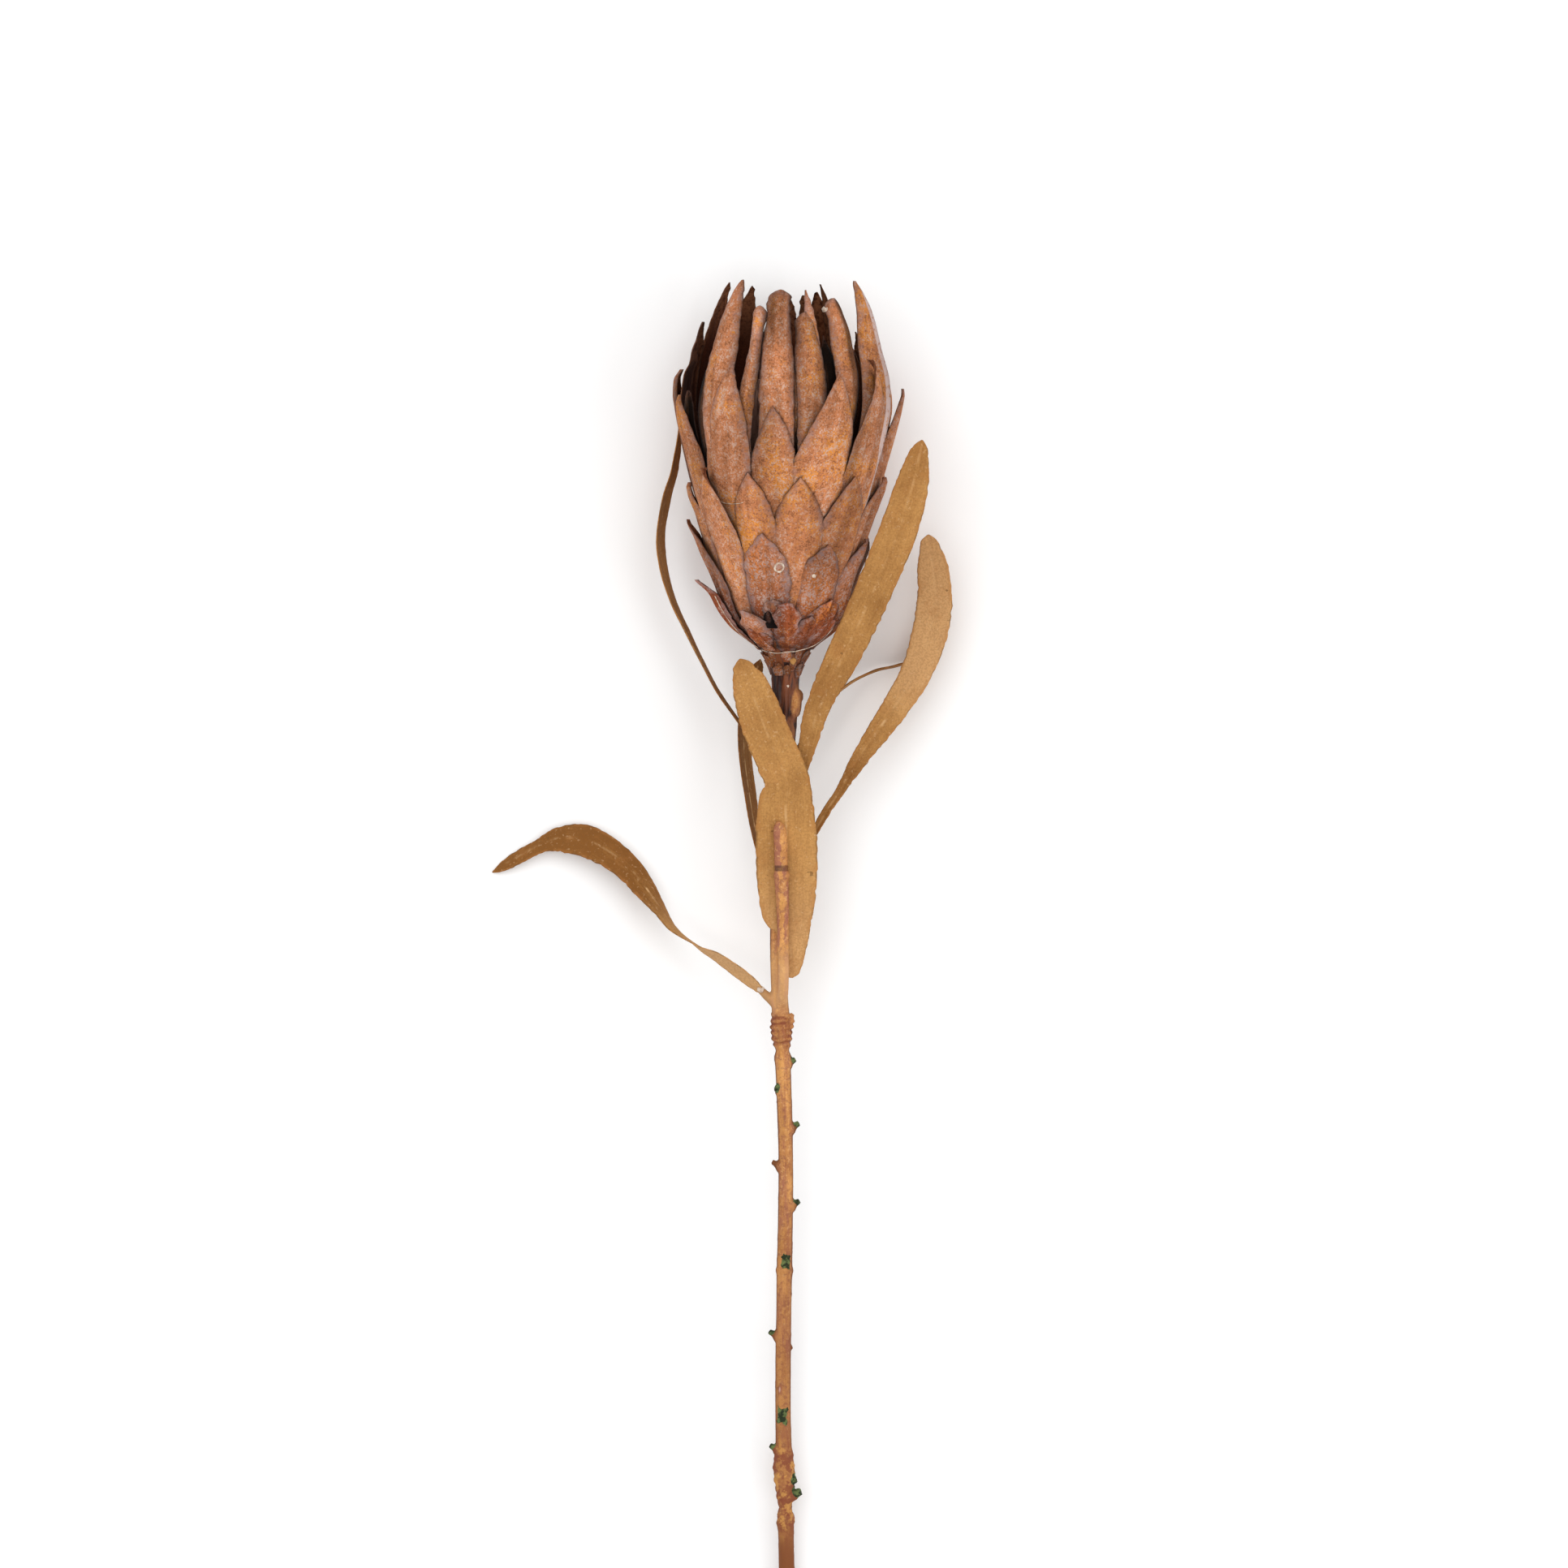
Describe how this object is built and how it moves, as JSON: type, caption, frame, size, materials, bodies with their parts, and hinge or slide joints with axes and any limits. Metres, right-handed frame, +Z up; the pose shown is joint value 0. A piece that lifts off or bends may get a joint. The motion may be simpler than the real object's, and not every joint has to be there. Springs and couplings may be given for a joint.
{
  "type": "protea flower",
  "caption": "Dried protea flower: a closed goblet-shaped head of overlapping velvety bracts on a long cut stem with narrow leaves, lying on its side.",
  "frame": {"origin": "centre of the flower's footprint, on the surface that it lies on", "axes": "+Y along the stem from the cut end towards the head, +X to the right seen from above, +Z up, away from the surface"},
  "size_m": [0.1482, 0.4602, 0.0717],
  "materials": {
    "stem": "dry bark, matt, pinkish tan with mauve and green scars",
    "florets": "dark brown, hairy, matt",
    "leaf": "dry leathery leaf, matt tan",
    "low_bract": "velvety, mauve brown, matt",
    "bract": "velvety, dusty terracotta, matt"
  },
  "bodies": {
    "root": {"stem": "stem", "floret_mass": "florets", "leaf_left_drooping": "leaf", "leaf_front": "leaf", "leaf_left_back": "leaf", "leaf_left_upper": "leaf", "leaf_right_upper": "leaf", "leaf_right_lower": "leaf", "leaf_right_back": "leaf", "base_bract_1": "low_bract", "base_bract_2": "low_bract", "base_bract_3": "low_bract", "base_bract_4": "low_bract", "base_bract_5": "low_bract", "base_bract_6": "low_bract", "base_bract_7": "low_bract", "lower_bract_1": "low_bract", "lower_bract_2": "low_bract", "lower_bract_3": "low_bract", "lower_bract_4": "low_bract", "lower_bract_5": "low_bract", "lower_bract_6": "low_bract", "lower_bract_7": "low_bract", "lower_bract_8": "low_bract", "middle_bract_1": "bract", "middle_bract_2": "bract", "middle_bract_3": "bract", "middle_bract_4": "bract", "middle_bract_5": "bract", "middle_bract_6": "bract", "middle_bract_7": "bract", "middle_bract_8": "bract", "middle_bract_9": "bract", "middle_bract_10": "bract", "middle_bract_11": "bract", "upper_bract_1": "bract", "upper_bract_2": "bract", "upper_bract_3": "bract", "upper_bract_4": "bract", "upper_bract_5": "bract", "upper_bract_6": "bract", "upper_bract_7": "bract", "upper_bract_8": "bract", "upper_bract_9": "bract", "upper_bract_10": "bract", "upper_bract_11": "bract", "inner_bract_1": "bract", "inner_bract_2": "bract", "inner_bract_3": "bract", "inner_bract_4": "bract", "inner_bract_5": "bract", "inner_bract_6": "bract", "inner_bract_7": "bract", "inner_bract_8": "bract", "inner_bract_9": "bract", "inner_bract_10": "bract", "inner_bract_11": "bract", "inner_bract_12": "bract", "inner_bract_13": "bract", "inner_bract_14": "bract"}
  },
  "joints": []
}
